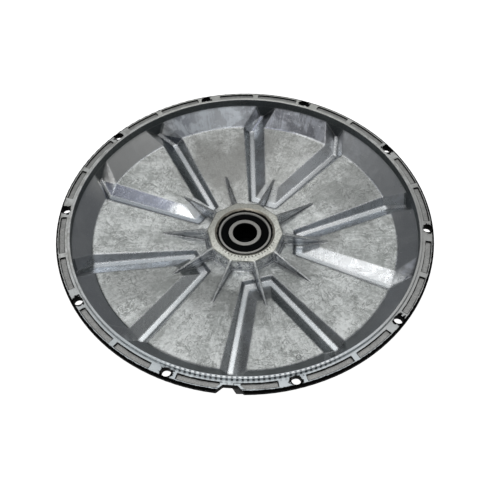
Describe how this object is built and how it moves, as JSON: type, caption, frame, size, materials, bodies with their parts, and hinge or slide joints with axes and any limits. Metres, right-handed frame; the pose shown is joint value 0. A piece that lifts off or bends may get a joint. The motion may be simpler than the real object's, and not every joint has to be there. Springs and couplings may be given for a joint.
{
  "type": "hub motor end cover",
  "caption": "Round dished end cover of a wheel hub motor, with a sealed ball bearing and a shaft seal in its hub, V-shaped channels, gussets and a bolted flange.",
  "frame": {"origin": "on the bearing axis, in the plane of the flange's joint face (the circle centre of the screw holes)", "axes": "+Z along the bearing axis, out of the bowl towards the motor; -Y towards the cable notch in the flange"},
  "size_m": [0.238, 0.2377, 0.0341],
  "materials": {
    "cast_aluminium": "as die-cast inside, turned on the joint and hub faces, painted black on the outside",
    "bearing_steel": "ground",
    "ball_steel": "polished",
    "pressed_steel": "pressed",
    "spring_steel": "drawn",
    "seal_rubber": "moulded matt"
  },
  "bodies": {
    "cover_body": {"cover": "cast_aluminium", "bearing_outer_ring": "bearing_steel", "inner_seal_rubber": "seal_rubber", "inner_seal_insert": "pressed_steel", "outer_seal_rubber": "seal_rubber", "outer_seal_insert": "pressed_steel", "shaft_seal_case": "pressed_steel", "shaft_seal_rubber": "seal_rubber", "shaft_seal_spring": "spring_steel"},
    "inner_ring_body": {"bearing_inner_ring": "bearing_steel"},
    "cage_body": {"cage_half_upper": "pressed_steel", "cage_half_lower": "pressed_steel", "cage_rivets": "pressed_steel"},
    "ball_1_body": {"bearing_ball_1": "ball_steel"},
    "ball_2_body": {"bearing_ball_2": "ball_steel"},
    "ball_3_body": {"bearing_ball_3": "ball_steel"},
    "ball_4_body": {"bearing_ball_4": "ball_steel"},
    "ball_5_body": {"bearing_ball_5": "ball_steel"},
    "ball_6_body": {"bearing_ball_6": "ball_steel"},
    "ball_7_body": {"bearing_ball_7": "ball_steel"},
    "ball_8_body": {"bearing_ball_8": "ball_steel"}
  },
  "joints": [
    {"name": "inner_ring_spin", "type": "hinge", "parent": "cover_body", "child": "inner_ring_body", "pos_m": [0, 0, -0.0194], "axis": [0, 0, 1], "continuous": true},
    {"name": "cage_spin", "type": "hinge", "parent": "cover_body", "child": "cage_body", "pos_m": [0, 0, -0.0194], "axis": [0, 0, 1], "continuous": true},
    {"name": "ball_1_spin", "type": "hinge", "parent": "cage_body", "child": "ball_1_body", "pos_m": [0.0125, 0, -0.0194], "axis": [0, 0, 1], "continuous": true},
    {"name": "ball_2_spin", "type": "hinge", "parent": "cage_body", "child": "ball_2_body", "pos_m": [0.00884, 0.00884, -0.0194], "axis": [0, 0, 1], "continuous": true},
    {"name": "ball_3_spin", "type": "hinge", "parent": "cage_body", "child": "ball_3_body", "pos_m": [0, 0.0125, -0.0194], "axis": [0, 0, 1], "continuous": true},
    {"name": "ball_4_spin", "type": "hinge", "parent": "cage_body", "child": "ball_4_body", "pos_m": [-0.00884, 0.00884, -0.0194], "axis": [0, 0, 1], "continuous": true},
    {"name": "ball_5_spin", "type": "hinge", "parent": "cage_body", "child": "ball_5_body", "pos_m": [-0.0125, 0, -0.0194], "axis": [0, 0, 1], "continuous": true},
    {"name": "ball_6_spin", "type": "hinge", "parent": "cage_body", "child": "ball_6_body", "pos_m": [-0.00884, -0.00884, -0.0194], "axis": [0, 0, 1], "continuous": true},
    {"name": "ball_7_spin", "type": "hinge", "parent": "cage_body", "child": "ball_7_body", "pos_m": [0, -0.0125, -0.0194], "axis": [0, 0, 1], "continuous": true},
    {"name": "ball_8_spin", "type": "hinge", "parent": "cage_body", "child": "ball_8_body", "pos_m": [0.00884, -0.00884, -0.0194], "axis": [0, 0, 1], "continuous": true}
  ],
  "couplings": [
    {"joint": "cage_spin", "follows": "inner_ring_spin", "ratio": 0.38094},
    {"joint": "ball_1_spin", "follows": "inner_ring_spin", "ratio": -1.9807},
    {"joint": "ball_2_spin", "follows": "inner_ring_spin", "ratio": -1.9807},
    {"joint": "ball_3_spin", "follows": "inner_ring_spin", "ratio": -1.9807},
    {"joint": "ball_4_spin", "follows": "inner_ring_spin", "ratio": -1.9807},
    {"joint": "ball_5_spin", "follows": "inner_ring_spin", "ratio": -1.9807},
    {"joint": "ball_6_spin", "follows": "inner_ring_spin", "ratio": -1.9807},
    {"joint": "ball_7_spin", "follows": "inner_ring_spin", "ratio": -1.9807},
    {"joint": "ball_8_spin", "follows": "inner_ring_spin", "ratio": -1.9807}
  ]
}
